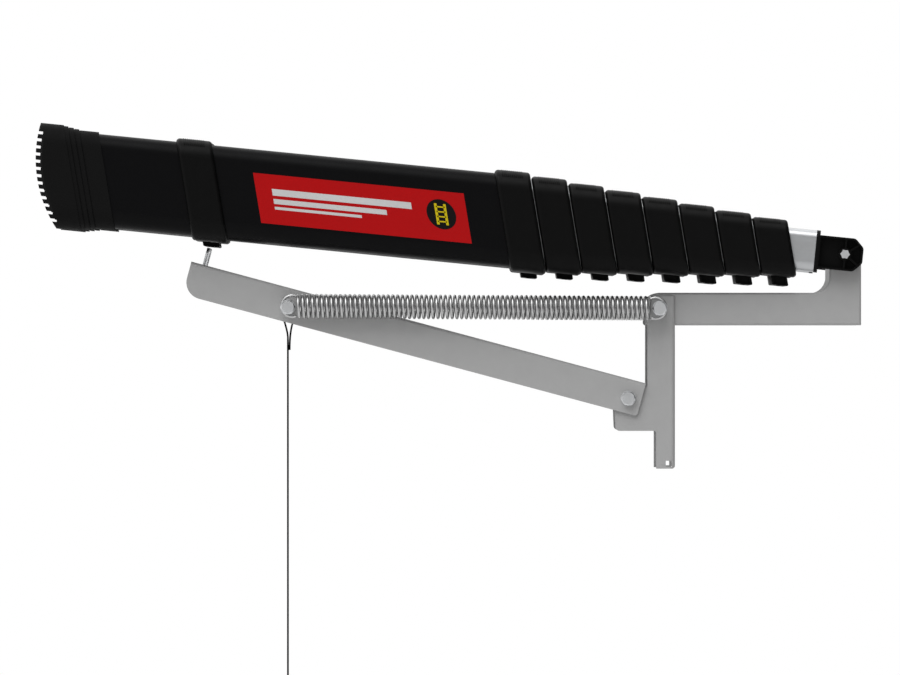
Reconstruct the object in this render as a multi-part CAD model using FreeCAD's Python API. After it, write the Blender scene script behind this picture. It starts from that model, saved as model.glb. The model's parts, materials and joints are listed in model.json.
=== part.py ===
import FreeCAD, Part
import math
import os

# A nine-section telescoping loft ladder on its spring-assisted hatch bracket, stowed.
# The origin is on the mounting plane of the bracket. +X points into the hatch frame, +Z up,
# and the ladder lies along -X. Everything is symmetric about Y = 0 but for the label.
V = FreeCAD.Vector
os.makedirs("parts", exist_ok=True)

# Ladder: distances run along the stiles from the top pivot (t) and across them (v, rear is plus)
TILT = 5.63                 # the stowed ladder rises by this angle towards its feet
LEAN = math.tan(math.radians(15))  # rungs are slanted, to stand level when the ladder leans
SECTIONS = 9
STILE_Y = 175.0             # centre of each stile
NEST_PITCH = 33.4           # between two collars when the ladder is pushed together
COLLAR_HEIGHT = 33.0
FIRST_COLLAR = 48.7         # upper face of the collar nearest the top pivot
BOTTOM_STEP = 575.3         # upper face of the lowest, fixed step
SLIDE_TRAVEL = 259.4        # each section slides this far
TUBE_OVERLAP = 40.0         # what stays inside the next tube when it is pulled out
TUBE_LENGTH = NEST_PITCH + SLIDE_TRAVEL + COLLAR_HEIGHT + TUBE_OVERLAP
TUBE_DEPTH = 84.9           # the black outer tube, front to rear
TUBE_WIDTH = 60.0
TUBE_FRONT_R = 12.5         # corner radii of the outer tube
TUBE_REAR_R = 16.0
DEPTH_STEP = 5.8            # each tube is this much smaller than the one around it
WIDTH_STEP = 5.0
FRONT_R_STEP = 0.69
REAR_R_STEP = 0.9
WALL = 1.5
COLLAR_DEPTH = 91.6
COLLAR_DEPTH_STEP = 5.68
COLLAR_SIDE = 4.0           # the collar's wall beside the tube
COLLAR_LIP = 3.0            # the collar's lip over the end of its tube
COLLAR_EDGE_R = 3.2
TUBE_SLIP = 0.5             # between a tube and the lip that it slides through
RUNG_REACH = 50.0           # the lowest rungs' rear rails, from the stile's centre line
RUNG_REACH_STEP = 2.25
RUNG_HEIGHT = 26.0
RUNG_WALL = 1.8
RUNG_FRONT_INSET = 4.0      # the rung's faces lie this far inside the collars' faces
RUNG_REAR_INSET = 3.0
RAIL_WIDTH = 15.0           # the channel along the rear of each rung
RAIL_WALL = 2.0
RAIL_LIP = 4.7              # each lip beside the channel's mouth
SPIGOT = 18.0               # how far each collar reaches into its rung
SPIGOT_WALL = 3.0
SPIGOT_FIT = 0.15
LUG_WIDTH = 12.0            # the collar's lug that closes the end of the rung's channel
LUG_POCKET = 4.0            # depth of the pocket in its outer face
LUG_RIM = 1.0
BUTTON_WIDTH = 24.0
BUTTON_HEIGHT = 12.0
BUTTON_PROUD = 3.7          # more than the button's 3 mm of travel
BUTTON_FOOT = 1.2           # the foot inside the rung is this much larger all round
BUTTON_FOOT_THICK = 2.9
BUTTON_SLIP = 0.3
BUTTON_INSET = 22.0         # from the end of the collar's spigot to the button's centre
GUIDE_FLANGE = 8.0
GUIDE_SLIP = 0.35
GUIDE_DEPTH = 15.0
GUIDE_WALL = 2.2
LABEL_THICK = 0.3
LABEL_START = 347.5         # slanted heights of its ends
LABEL_END = 541.2
LABEL_FRONT = -21.0
LABEL_REAR = 24.0

# Feet: slanted heights of the cuff, the first step of its ribs and the block under them
FOOT_TOP = 679.4
RIB_START = 696.4
BLOCK_TOP = 711.1
FOOT_RIBS = 3
RIB_GAP = 1.0
RIB_GAP_DEPTH = 0.4
CUFF_WALL = 1.7             # rubber over the tube, in the cuff and in the block
BLOCK_WALL = 5.0
SOLE_RADIUS = 117.0
SOLE_APEX_T = 746.6
SOLE_APEX_V = -25.6
SOLE_CHAMFER = 6.0
GROOVES = 13
GROOVE_PITCH = 6.54
GROOVE_WIDTH = 2.8
GROOVE_DEPTH = 4.1
FIRST_GROOVE = -38.4
TUBE_END = 708.0            # where the outer tube ends inside the foot

# End plugs in the smallest tubes, with the tongue that the swing link holds
PLUG_TOP = 24.0
PLUG_FLANGE = 3.5
TONGUE_WIDTH = 30.4
TONGUE_END = -16.5
TONGUE_CHAMFER = 8.0
TONGUE_CORNER_R = 5.0
TONGUE_RIM = 1.8
TONGUE_FLOOR = 5.0          # thickness of its floor
HUB_R = 5.8
BRACE = 1.6
TONGUE_INNER_Y = 169.6
TONGUE_OUTER_Y = 185.0

# Linkage: pivots in the XZ plane
LINK_PIVOT = V(-13.9, 0, 77.6)
ARM_PIVOT = V(-42.7, 0, -4.9)
LADDER_PIVOT = V(155.7, 0, 127.1)
SPRING_BOLT = V(-354.7, 0, 78.7)
SHEET = 3.0
LINK_Y = 166.0              # inner faces of the three layers of sheet metal
BRACKET_Y = 169.5
ARM_Y = 173.0
ARM_LEAN = 15.0
ARM_LENGTH = 431.0
ARM_DEPTH = 31.2
ARM_BOLT_S = 96.1           # along the arm, from its free end
ARM_PIVOT_S = 419.1
ARM_BOLT_D = 17.4           # below the arm's top face
ARM_FLANGE_Y = 165.0
HOOK_S = 11.7
HOOK_D = 8.0
HOOK_RISE = 16.3
HOOK_WIRE = 1.3             # radius
HOOK_Y = 158.0
HOOK_SEAT = 2.0             # depth of the blind holes in the arm that the wire's ends sit in

# Mounting bracket: one folded sheet with its back plate on the YZ plane
BRACKET_TOP = 88.6
BRACKET_BOTTOM = -69.4
BRACKET_BACK = 25.3         # how far the upper side plate stands out
BRACKET_FOOT = 17.3
EAR_TOP = 4.6
EAR_BOTTOM = -34.8
EAR_REACH = 56.0
BACK_BOTTOM = -62.2
SLOT_BOTTOM = 55.0          # the slots that the swing links turn through
SLOT_INNER_Y = 161.0
WINDOW_Y = 90.0
WINDOW_BOTTOM = -38.0
WINDOW_TOP = 60.0
RELIEF = 5.4                # the square relief hole where each bend ends
SCREW_R = 3.25
SCREW_Y = 120.0
SCREW_Z = 40.0

# Swing links
LINK_TOP_R = 14.2
LINK_BOTTOM = 62.0
LINK_HEEL = -27.4
LINK_END = 170.6
UPRIGHT_INNER = 141.6
UPRIGHT_TOP_R = 14.5
LINK_FLANGE = 14.0

# Bolts: M8 with hexagon heads
SHANK = 4.0
SHANK_SLIP = 0.08
HEX_ACROSS = 12.2
HEX_THICK = 5.3
NUT_THICK = 6.5
WASHER_R = 6.9
WASHER_THICK = 1.2
SPACER_R = 6.5
PIVOT_SCREW = 3.4           # radius of the screws that the ladder turns on
SCREW_HEAD_R = 7.0
STAR_TIP_R = 4.5            # the screw's six-pointed end
STAR_ROOT_R = 3.6
STAR_PROUD = 0.9

# Springs
SPRING_Y = 188.0
SPRING_R = 11.3             # outside
SPRING_WIRE = 1.3           # radius
SPRING_LOOP_R = 9.7         # the end loops' wire centre
SPRING_HANG = 4.1           # from a bolt to the centre of its loop
SPRING_BODY_GAP = 4.6       # from a loop's centre to the first coil

# Crossbars and cord
CROSSBAR_R = 8.0
CROSSBAR_WALL = 2.0
CROSSBAR = V(156.0, 0, 76.5)
CROSS_ROD_R = 6.5
CORD_R = 0.75
CORD_END_Z = -262.0
KNOB_R = 11.0
KNOB_HEIGHT = 30.0
KNOB_NECK_R = 4.0
KNOB_WAIST = 18.0           # how far below its top the knob is widest

LADDER_PLACE = FreeCAD.Placement(LADDER_PIVOT, FreeCAD.Rotation(V(0, 1, 0), 180 + TILT))
ARM_TURN = FreeCAD.Rotation(V(0, 1, 0), ARM_LEAN)
ARM_PLACE = FreeCAD.Placement(ARM_PIVOT - ARM_TURN.multVec(V(ARM_PIVOT_S, 0, -ARM_BOLT_D)), ARM_TURN)


# ---- helpers -------------------------------------------------------------------------------

def export(name, solids):
    """Write the solids as one node."""
    shape = solids[0] if len(solids) == 1 else Part.makeCompound(solids)
    shape.exportStep("parts/" + name + ".step")


def mirrored(shape):
    """The same piece on the other side of the ladder."""
    return shape.mirror(V(0, 0, 0), V(0, 1, 0))


def on_ladder(shape):
    return shape.transformed(LADDER_PLACE.toMatrix())


def on_arm(shape):
    return shape.transformed(ARM_PLACE.toMatrix())


def outline(points, radii):
    """A closed wire through points, its corners rounded by radii, which may be 0."""
    edges = []
    starts = []
    ends = []
    count = len(points)
    for i in range(count):
        before = (points[i - 1] - points[i]).normalize()
        after = (points[(i + 1) % count] - points[i]).normalize()
        half = before.getAngle(after) / 2
        cut = radii[i] / math.tan(half)
        starts.append(points[i] + before * cut)
        ends.append(points[i] + after * cut)
        if radii[i] > 0:
            middle = (before + after).normalize()
            near = radii[i] / math.sin(half) - radii[i]
            edges.append(Part.Arc(starts[i], points[i] + middle * near, ends[i]).toShape())
    for i in range(count):
        following = (i + 1) % count
        if ends[i].distanceToPoint(starts[following]) > 1e-6:
            edges.append(Part.LineSegment(ends[i], starts[following]).toShape())
    return Part.Wire(Part.__sortEdges__(edges))


def plate(points, radii, y_low, y_high):
    """A plate in the XZ plane from (x, z) points, between two Y values."""
    face = Part.Face(outline([V(x, y_low, z) for x, z in points], radii))
    return face.extrude(V(0, y_high - y_low, 0))


def stile_section(half_y, front, rear, front_r, rear_r, t_low, t_high):
    """A prism along the stile with the stiles' rounded section."""
    corners = [V(t_low, -half_y, front), V(t_low, half_y, front),
               V(t_low, half_y, rear), V(t_low, -half_y, rear)]
    face = Part.Face(outline(corners, [front_r, front_r, rear_r, rear_r]))
    return face.extrude(V(t_high - t_low, 0, 0))


def slab(h_low, h_high, half_y=60.0, half_v=90.0):
    """All between two slanted planes across the stiles."""
    points = [(h_low + half_v * LEAN, -half_v), (h_high + half_v * LEAN, -half_v),
              (h_high - half_v * LEAN, half_v), (h_low - half_v * LEAN, half_v)]
    return plate(points, [0] * 4, -half_y, half_y)


def rod(radius, start, end):
    return Part.makeCylinder(radius, (end - start).Length, start, end - start)


def hexagon(across, y_low, y_high, x, z):
    """A hexagonal prism along Y, by its size over the flats."""
    corner = across / math.sqrt(3)
    points = [V(x + corner * math.cos(math.radians(60 * i)), y_low,
                z + corner * math.sin(math.radians(60 * i))) for i in range(6)]
    return Part.Face(Part.makePolygon(points + points[:1])).extrude(V(0, y_high - y_low, 0))


def bolt(at, head_y, shank_to, nut_y=None, spacer=None):
    """One M8 bolt along Y: washer and head outboard of head_y, shank inwards, nut below nut_y."""
    x = at.x
    z = at.z
    body = rod(SHANK, V(x, shank_to, z), V(x, head_y + WASHER_THICK + 1, z))
    washer = rod(WASHER_R, V(x, head_y, z), V(x, head_y + WASHER_THICK, z))
    low = head_y + WASHER_THICK
    head = hexagon(HEX_ACROSS, low, low + HEX_THICK, x, z)
    cone = Part.makeCone(HEX_ACROSS / 2 + 4.4, HEX_ACROSS / 2 - 0.6, HEX_THICK,
                         V(x, low, z), V(0, 1, 0))
    # the cone rounds off the corners of the head's outer face
    body = body.fuse([washer, head.common(cone)])
    if nut_y is not None:
        body = body.fuse(hexagon(HEX_ACROSS, nut_y - NUT_THICK, nut_y, x, z))
    if spacer is not None:
        body = body.fuse(rod(SPACER_R, V(x, spacer[0], z), V(x, spacer[1], z)))
    return body.removeSplitter()


def tube_size(k):
    """Half width, half depth, front and rear corner radius of tube k, counted from the feet."""
    return (TUBE_WIDTH / 2 - WIDTH_STEP / 2 * (k - 1), TUBE_DEPTH / 2 - DEPTH_STEP / 2 * (k - 1),
            TUBE_FRONT_R - FRONT_R_STEP * (k - 1), TUBE_REAR_R - REAR_R_STEP * (k - 1))


def tube_prism(k, grow, t_low, t_high):
    """Tube k's outer section, made larger all round by grow."""
    half_y, half_v, front_r, rear_r = tube_size(k)
    return stile_section(half_y + grow, -half_v - grow, half_v + grow,
                         front_r + grow, rear_r + grow, t_low, t_high)


def collar_top(k):
    return FIRST_COLLAR + (SECTIONS - 1 - k) * NEST_PITCH


# ---- telescoping sections --------------------------------------------------------------------

def stile_tube(k):
    """Tube k, cut slanted under its collar's lip and square at its lower end."""
    if k == SECTIONS:
        low = PLUG_TOP + PLUG_FLANGE
        high = collar_top(k) + TUBE_LENGTH
        return tube_prism(k, 0, low, high).cut(tube_prism(k, -WALL, low - 1, high + 1))
    low = collar_top(k) + COLLAR_LIP
    high = TUBE_END if k == 1 else collar_top(k) + TUBE_LENGTH
    tube = tube_prism(k, 0, low - 20, high).cut(tube_prism(k, -WALL, low - 21, high + 1))
    return tube.cut(slab(low - 60, low))


def collar_body(k, top):
    """The collar's outer block, with its slanted end faces' edges rounded."""
    half_y, half_v, front_r, rear_r = tube_size(k)
    half_depth = COLLAR_DEPTH / 2 - COLLAR_DEPTH_STEP / 2 * (k - 1)
    grow = half_depth - half_v
    block = stile_section(half_y + COLLAR_SIDE, -half_depth, half_depth,
                          front_r + grow, rear_r + grow, top - 40, top + 80)
    block = block.common(slab(top, top + COLLAR_HEIGHT))
    ends = [e for f in block.Faces if abs(f.normalAt(0, 0).z) > 0.2
            and abs(f.normalAt(0, 0).x) > 0.9 for e in f.Edges]
    return block.makeFillet(COLLAR_EDGE_R, ends)


def rung_shape(k, inset):
    """The rung's main hollow in slanted coordinates, drawn in from its outer face by inset."""
    half_depth = COLLAR_DEPTH / 2 - COLLAR_DEPTH_STEP / 2 * (k - 1)
    middle = COLLAR_HEIGHT / 2
    low = middle - RUNG_HEIGHT / 2 + inset
    high = middle + RUNG_HEIGHT / 2 - inset
    front = -half_depth + RUNG_FRONT_INSET + inset
    rear = half_depth - RUNG_REAR_INSET - inset
    return low, high, front, rear


def slanted(points, top):
    """Points as (height below the collar's upper face, v), turned to (t, v)."""
    return [(top + h - v * LEAN, v) for h, v in points]


def rail_outline(top, inset, v_low, v_high):
    """A slanted block on the middle line of a rung, as wide as its rear channel less the inset."""
    low = COLLAR_HEIGHT / 2 - RAIL_WIDTH / 2 + inset
    high = COLLAR_HEIGHT / 2 + RAIL_WIDTH / 2 - inset
    return slanted([(low, v_low), (high, v_low), (high, v_high), (low, v_high)], top)


def channel_lug(k, top):
    """The collar's lug beside the rung's rear channel, with a pocket in its outer face."""
    inner = -tube_size(k)[0] - COLLAR_SIDE
    outer = inner + LUG_WIDTH
    reach = RUNG_REACH - RUNG_REACH_STEP * (k - 1)
    collar_rear = COLLAR_DEPTH / 2 - COLLAR_DEPTH_STEP / 2 * (k - 1)
    lug = plate(rail_outline(top, 0, 0, reach), [0, 0, 1.2, 1.2], inner, outer)
    pocket = rail_outline(top, RAIL_WALL, collar_rear, reach - LUG_RIM)
    return lug.cut(plate(pocket, [0] * 4, outer - LUG_POCKET, outer + 1))


def stile_collar(k, top, passage):
    """The +Y collar of section k: block, lug, tube socket, passage for the next tube and spigot."""
    block = collar_body(k, top).fuse(channel_lug(k, top))
    if passage:
        socket = tube_prism(k, 0, top - 40, top + 90).common(slab(top + COLLAR_LIP, top + 90))
        block = block.cut(socket)
        block = block.cut(tube_prism(k + 1, TUBE_SLIP, top - 40, top + 90))
    else:
        block = block.cut(tube_prism(k, 0, top - 60, top + 90))
    low, high, front, rear = rung_shape(k, RUNG_WALL + SPIGOT_FIT)
    half_y = tube_size(k)[0] + COLLAR_SIDE
    points = slanted([(low, front), (high, front), (high, rear), (low, rear)], top)
    spigot = plate(points, [4.0] * 4, -half_y - SPIGOT, -half_y + 1)
    hollow = slanted([(low + SPIGOT_WALL, front + SPIGOT_WALL), (high - SPIGOT_WALL, front + SPIGOT_WALL),
                      (high - SPIGOT_WALL, rear - SPIGOT_WALL), (low + SPIGOT_WALL, rear - SPIGOT_WALL)], top)
    spigot = spigot.cut(plate(hollow, [2.0] * 4, -half_y - SPIGOT - 1, -half_y))
    return block.fuse(spigot).removeSplitter()


def rung(k, top):
    """A hollow rung between two collars, with an open channel along its rear."""
    half_y = STILE_Y - tube_size(k)[0] - COLLAR_SIDE
    low, high, front, rear = rung_shape(k, 0)
    body = plate(slanted([(low, front), (high, front), (high, rear), (low, rear)], top),
                 [5.0, 5.0, 3.0, 3.0], -half_y, half_y)
    low, high, front, inner_rear = rung_shape(k, RUNG_WALL)
    hollow = plate(slanted([(low, front), (high, front), (high, inner_rear), (low, inner_rear)], top),
                   [4.0] * 4, -half_y - 1, half_y + 1)
    reach = RUNG_REACH - RUNG_REACH_STEP * (k - 1)
    body = body.fuse(plate(rail_outline(top, 0, rear - 1, reach), [0, 0, 1.2, 1.2], -half_y, half_y))
    groove = plate(rail_outline(top, RAIL_WALL, rear, reach - RAIL_WALL), [0] * 4, -half_y - 1, half_y + 1)
    mouth = plate(rail_outline(top, RAIL_LIP, rear, reach + 1), [0] * 4, -half_y - 1, half_y + 1)
    return body.cut([hollow, groove, mouth])


def button_box(k, top, side, grow, v_low, v_high):
    """A slanted block at a release button's place near one end of rung k."""
    middle = COLLAR_HEIGHT / 2
    tall = BUTTON_HEIGHT / 2 + grow
    centre = side * (STILE_Y - TUBE_WIDTH / 2 - COLLAR_SIDE - SPIGOT - BUTTON_INSET)
    points = slanted([(middle - tall, v_low), (middle + tall, v_low),
                      (middle + tall, v_high), (middle - tall, v_high)], top)
    radius = 2.0 if grow == 0 else 0
    return plate(points, [radius, radius, 0, 0], centre - BUTTON_WIDTH / 2 - grow,
                 centre + BUTTON_WIDTH / 2 + grow)


def button_slot(k, top, side):
    """The hole for a release button through the rung's front wall."""
    front = rung_shape(k, 0)[2]
    return button_box(k, top, side, BUTTON_SLIP, front - 1, front + RUNG_WALL + 1)


def release_button(k, top, side):
    """A button through the rung's front wall, with a wider foot that keeps it in."""
    front = rung_shape(k, 0)[2]
    inner = front + RUNG_WALL + 0.4
    cap = button_box(k, top, side, 0, front - BUTTON_PROUD, inner + 0.1)
    foot = button_box(k, top, side, BUTTON_FOOT, inner, inner + BUTTON_FOOT_THICK)
    return cap.fuse(foot).removeSplitter()


def tube_guide(k):
    """The bush at tube k's lower end, which runs in the next tube."""
    low = collar_top(k) + TUBE_LENGTH
    half_y, half_v, front_r, rear_r = tube_size(k - 1)
    flange = tube_prism(k - 1, -WALL - GUIDE_SLIP, low, low + GUIDE_FLANGE)
    plug = tube_prism(k, -WALL, low - GUIDE_DEPTH, low)
    bore = tube_prism(k, -WALL - GUIDE_WALL, low - GUIDE_DEPTH - 1, low + GUIDE_FLANGE + 1)
    return flange.fuse(plug).removeSplitter().cut(bore)


for k in range(1, SECTIONS + 1):
    tube = on_ladder(stile_tube(k).translated(V(0, STILE_Y, 0)))
    export("stile_tubes_%d" % k, [tube, mirrored(tube)])
    if k < SECTIONS:
        collar = on_ladder(stile_collar(k, collar_top(k), True).translated(V(0, STILE_Y, 0)))
        export("stile_collars_%d" % k, [collar, mirrored(collar)])
        slots = [button_slot(k, collar_top(k), end) for end in (-1, 1)]
        export("rung_%d" % k, [on_ladder(rung(k, collar_top(k)).cut(slots))])
        buttons = [on_ladder(release_button(k, collar_top(k), end)) for end in (-1, 1)]
        export("release_buttons_%d" % k, buttons)
    if k > 1:
        guide = on_ladder(tube_guide(k).translated(V(0, STILE_Y, 0)))
        export("tube_guides_%d" % k, [guide, mirrored(guide)])

# The lowest step is fixed on the outer tube, above the foot
collar = on_ladder(stile_collar(1, BOTTOM_STEP, False).translated(V(0, STILE_Y, 0)))
export("bottom_step_collars", [collar, mirrored(collar)])
export("bottom_step", [on_ladder(rung(1, BOTTOM_STEP))])


# ---- feet, end plugs and label -----------------------------------------------------------------

def sole(v):
    """Where the curved sole lies along the stile, at v."""
    return SOLE_APEX_T - SOLE_RADIUS + math.sqrt(SOLE_RADIUS ** 2 - (v - SOLE_APEX_V) ** 2)


def foot_cap():
    """A rubber boot: a slim cuff, ribs in steps, and a block with a curved, grooved sole."""
    half_y = TUBE_WIDTH / 2 + BLOCK_WALL
    half_v = TUBE_DEPTH / 2 + BLOCK_WALL
    start = V(BLOCK_TOP + half_v * LEAN, -half_y, -half_v)
    front = V(sole(-half_v), -half_y, -half_v)
    apex = V(SOLE_APEX_T, -half_y, SOLE_APEX_V)
    rear = V(sole(half_v), -half_y, half_v)
    end = V(BLOCK_TOP - half_v * LEAN, -half_y, half_v)
    edges = [Part.LineSegment(start, front).toShape(), Part.Arc(front, apex, rear).toShape(),
             Part.LineSegment(rear, end).toShape(), Part.LineSegment(end, start).toShape()]
    body = Part.Face(Part.Wire(edges)).extrude(V(0, 2 * half_y, 0))
    rims = [edge for edge in body.Edges if edge.Curve.TypeId == "Part::GeomCircle"]
    body = body.makeChamfer(SOLE_CHAMFER, rims)
    body = body.common(tube_prism(1, BLOCK_WALL, 640, 760))
    body = body.fuse(tube_prism(1, CUFF_WALL, 640, 760).common(slab(FOOT_TOP, BLOCK_TOP + 1)))
    step = (BLOCK_WALL - CUFF_WALL) / (FOOT_RIBS + 1)
    pitch = (BLOCK_TOP - RIB_START) / FOOT_RIBS
    for i in range(FOOT_RIBS):
        low = RIB_START + pitch * i
        wall = CUFF_WALL + step * (i + 1)
        body = body.fuse(tube_prism(1, wall, 640, 760).common(slab(low, BLOCK_TOP + 1)))
        groove = slab(low, low + RIB_GAP).cut(tube_prism(1, wall - step - RIB_GAP_DEPTH, 640, 760))
        body = body.cut(groove)
    body = body.cut(tube_prism(1, 0, 640, TUBE_END))
    for i in range(GROOVES):
        middle = FIRST_GROOVE + GROOVE_PITCH * i
        bottom = min(sole(middle - GROOVE_WIDTH / 2), sole(middle + GROOVE_WIDTH / 2)) - GROOVE_DEPTH
        body = body.cut(Part.makeBox(40, 2 * half_y + 2, GROOVE_WIDTH,
                                     V(bottom, -half_y - 1, middle - GROOVE_WIDTH / 2)))
    return body.removeSplitter()


foot = on_ladder(foot_cap().translated(V(0, STILE_Y, 0)))
export("foot_caps", [foot, mirrored(foot)])


def tongue_outline(inset):
    """The tongue's outline round the pivot, drawn in by inset, out to inside the flange."""
    half = TONGUE_WIDTH / 2 - inset
    tip = TONGUE_END + inset
    chamfer = TONGUE_CHAMFER - inset * (2 - math.sqrt(2))
    base = PLUG_TOP + 1 if inset == 0 else PLUG_TOP - 0.5
    return [(tip + chamfer, -half), (base, -half), (base, half), (tip + chamfer, half),
            (tip, half - chamfer), (tip, -half + chamfer)]


def end_plug():
    """The +Y end plug: core in the tube, flange, and the pocketed tongue round the pivot."""
    core = tube_prism(SECTIONS, -WALL, PLUG_TOP + 1, PLUG_TOP + PLUG_FLANGE + 25)
    flange = tube_prism(SECTIONS, 0.15, PLUG_TOP, PLUG_TOP + PLUG_FLANGE)
    core = core.fuse(flange).translated(V(0, STILE_Y, 0))
    half = TONGUE_WIDTH / 2
    tongue = plate(tongue_outline(0), [TONGUE_CORNER_R, 0, 0] + [TONGUE_CORNER_R] * 3,
                   TONGUE_INNER_Y, TONGUE_OUTER_Y)
    floor = TONGUE_INNER_Y + TONGUE_FLOOR
    radius = TONGUE_CORNER_R - TONGUE_RIM
    pocket = plate(tongue_outline(TONGUE_RIM), [radius, 0, 0] + [radius] * 3, floor, TONGUE_OUTER_Y + 1)
    # inside the pocket a hub holds the screw, braced by a rib across it and one to each outer corner
    braces = [rod(HUB_R, V(0, floor - 1, 0), V(0, TONGUE_OUTER_Y, 0))]
    for end_t, end_v in ((0, -half), (0, half), (TONGUE_END + 3, -half + 5), (TONGUE_END + 3, half - 5)):
        along = V(end_t, 0, end_v).normalize()
        side = V(-along.z, 0, along.x) * (BRACE / 2)
        corners = [(side.x, side.z), (end_t + side.x, end_v + side.z),
                   (end_t - side.x, end_v - side.z), (-side.x, -side.z)]
        braces.append(plate(corners, [0] * 4, floor - 1, TONGUE_OUTER_Y - 0.5))
    tongue = tongue.cut(pocket).fuse([brace.common(pocket) for brace in braces])
    hole = rod(PIVOT_SCREW, V(0, 150, 0), V(0, 200, 0))
    return core.fuse(tongue).cut(hole).removeSplitter()


plug = on_ladder(end_plug())
export("end_plugs", [plug, mirrored(plug)])

# The label is a thin slanted plate on the outer face of the near stile
label_y = -STILE_Y - TUBE_WIDTH / 2
label_points = slanted([(LABEL_START, LABEL_FRONT), (LABEL_END, LABEL_FRONT),
                        (LABEL_END, LABEL_REAR), (LABEL_START, LABEL_REAR)], 0)
export("side_label", [on_ladder(plate(label_points, [0] * 4, label_y - LABEL_THICK, label_y))])

# Screws through the swing links into the tongues: head inboard, a star-shaped end outboard
screw = rod(PIVOT_SCREW, V(0, LINK_Y - 1, 0), V(0, TONGUE_OUTER_Y + STAR_PROUD / 2, 0))
screw = screw.fuse(rod(SCREW_HEAD_R, V(0, LINK_Y - 5, 0), V(0, LINK_Y - 0.4, 0)))
tips = []
for i in range(12):
    radius = STAR_TIP_R if i % 2 == 0 else STAR_ROOT_R
    turn = math.radians(30 * i)
    tips.append(V(radius * math.cos(turn), TONGUE_OUTER_Y, radius * math.sin(turn)))
star = Part.Face(Part.makePolygon(tips + tips[:1])).extrude(V(0, STAR_PROUD, 0))
screw = on_ladder(screw.fuse(star).removeSplitter())
export("ladder_pivot_screws", [screw, mirrored(screw)])


# ---- bracket and swing links -------------------------------------------------------------------

def mounting_bracket():
    """One folded sheet: a back plate with screw holes, and a side plate with an ear each side."""
    points = [(0, BRACKET_TOP), (-BRACKET_BACK, BRACKET_TOP), (-BRACKET_BACK, EAR_TOP),
              (-EAR_REACH, EAR_TOP), (-EAR_REACH + 1.6, EAR_BOTTOM), (-BRACKET_FOOT, EAR_BOTTOM),
              (-BRACKET_FOOT, BRACKET_BOTTOM), (0, BRACKET_BOTTOM)]
    cheek = plate(points, [0, 3.0, 2.0, 10.0, 4.0, 2.0, 0.5, 3.0], BRACKET_Y, BRACKET_Y + SHEET)
    back = Part.makeBox(SHEET, 2 * (BRACKET_Y + SHEET), BRACKET_TOP - BACK_BOTTOM,
                        V(-SHEET, -BRACKET_Y - SHEET, BACK_BOTTOM))
    body = back.fuse([cheek, mirrored(cheek)]).removeSplitter()
    edge = BRACKET_Y + SHEET
    plan = [V(-60, -edge, -80), V(0, -edge, -80), V(0, edge, -80), V(-60, edge, -80)]
    plan_face = Part.Face(outline(plan, [0, SHEET + 0.6, SHEET + 0.6, 0]))
    body = body.common(plan_face.extrude(V(0, 0, 180)))
    cuts = []
    for s in (-1, 1):
        low = min(s * SLOT_INNER_Y, s * BRACKET_Y)
        cuts.append(Part.makeBox(2 * SHEET, BRACKET_Y - SLOT_INNER_Y, 60, V(-5.5, low, SLOT_BOTTOM)))
        low = min(s * (BRACKET_Y - 1), s * (BRACKET_Y + SHEET + 1))
        cuts.append(Part.makeBox(RELIEF, SHEET + 2, RELIEF, V(-SHEET - RELIEF, low, BACK_BOTTOM - RELIEF)))
        for z in (-SCREW_Z, SCREW_Z):
            cuts.append(rod(SCREW_R, V(-10, s * SCREW_Y, z), V(5, s * SCREW_Y, z)))
    # a wide window lightens the middle of the back plate
    window = [V(-10, -WINDOW_Y, WINDOW_BOTTOM), V(-10, WINDOW_Y, WINDOW_BOTTOM),
              V(-10, WINDOW_Y, WINDOW_TOP), V(-10, -WINDOW_Y, WINDOW_TOP)]
    window = Part.Face(outline(window, [12.0] * 4)).extrude(V(20, 0, 0))
    cuts.append(window)
    cuts.append(rod(SHANK, V(LINK_PIVOT.x, -200, LINK_PIVOT.z), V(LINK_PIVOT.x, 200, LINK_PIVOT.z)))
    cuts.append(rod(SHANK + SHANK_SLIP, V(ARM_PIVOT.x, -200, ARM_PIVOT.z),
                    V(ARM_PIVOT.x, 200, ARM_PIVOT.z)))
    return body.cut(cuts)


export("mounting_bracket", [mounting_bracket()])


def swing_link():
    """The +Y swing link: an L of sheet with its lower edge bent inwards."""
    top = LINK_PIVOT.z + LINK_TOP_R
    low = LINK_Y
    high = LINK_Y + SHEET
    arm = plate([(LINK_PIVOT.x - LINK_TOP_R, top), (LINK_HEEL, LINK_BOTTOM), (LINK_END, LINK_BOTTOM),
                 (LINK_END, LADDER_PIVOT.z), (UPRIGHT_INNER, LADDER_PIVOT.z), (UPRIGHT_INNER, top)],
                [LINK_TOP_R - 0.5, 2.5, 0.5, 0, 0, 14.6], low, high)
    arm = arm.fuse(rod(UPRIGHT_TOP_R, V(LADDER_PIVOT.x + 0.4, low, LADDER_PIVOT.z),
                       V(LADDER_PIVOT.x + 0.4, high, LADDER_PIVOT.z)))
    flange = Part.makeBox(LINK_END - 24 - 12, LINK_FLANGE, SHEET, V(12, high - LINK_FLANGE, LINK_BOTTOM))
    link = arm.fuse(flange).removeSplitter()
    bend = [e for e in link.Edges if abs(e.BoundBox.ZMax - LINK_BOTTOM) < 0.01
            and abs(e.BoundBox.YMin - high) < 0.01 and abs(e.BoundBox.YMax - high) < 0.01
            and e.BoundBox.XLength > 100]
    link = link.makeFillet(SHEET - 0.4, bend)
    link = link.cut([
        rod(SHANK + SHANK_SLIP, V(LINK_PIVOT.x, 150, LINK_PIVOT.z), V(LINK_PIVOT.x, 190, LINK_PIVOT.z)),
        rod(PIVOT_SCREW + SHANK_SLIP, V(LADDER_PIVOT.x, 150, LADDER_PIVOT.z),
            V(LADDER_PIVOT.x, 190, LADDER_PIVOT.z))])
    return link


link = swing_link()
export("swing_link_left", [link])
export("swing_link_right", [mirrored(link)])

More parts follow.
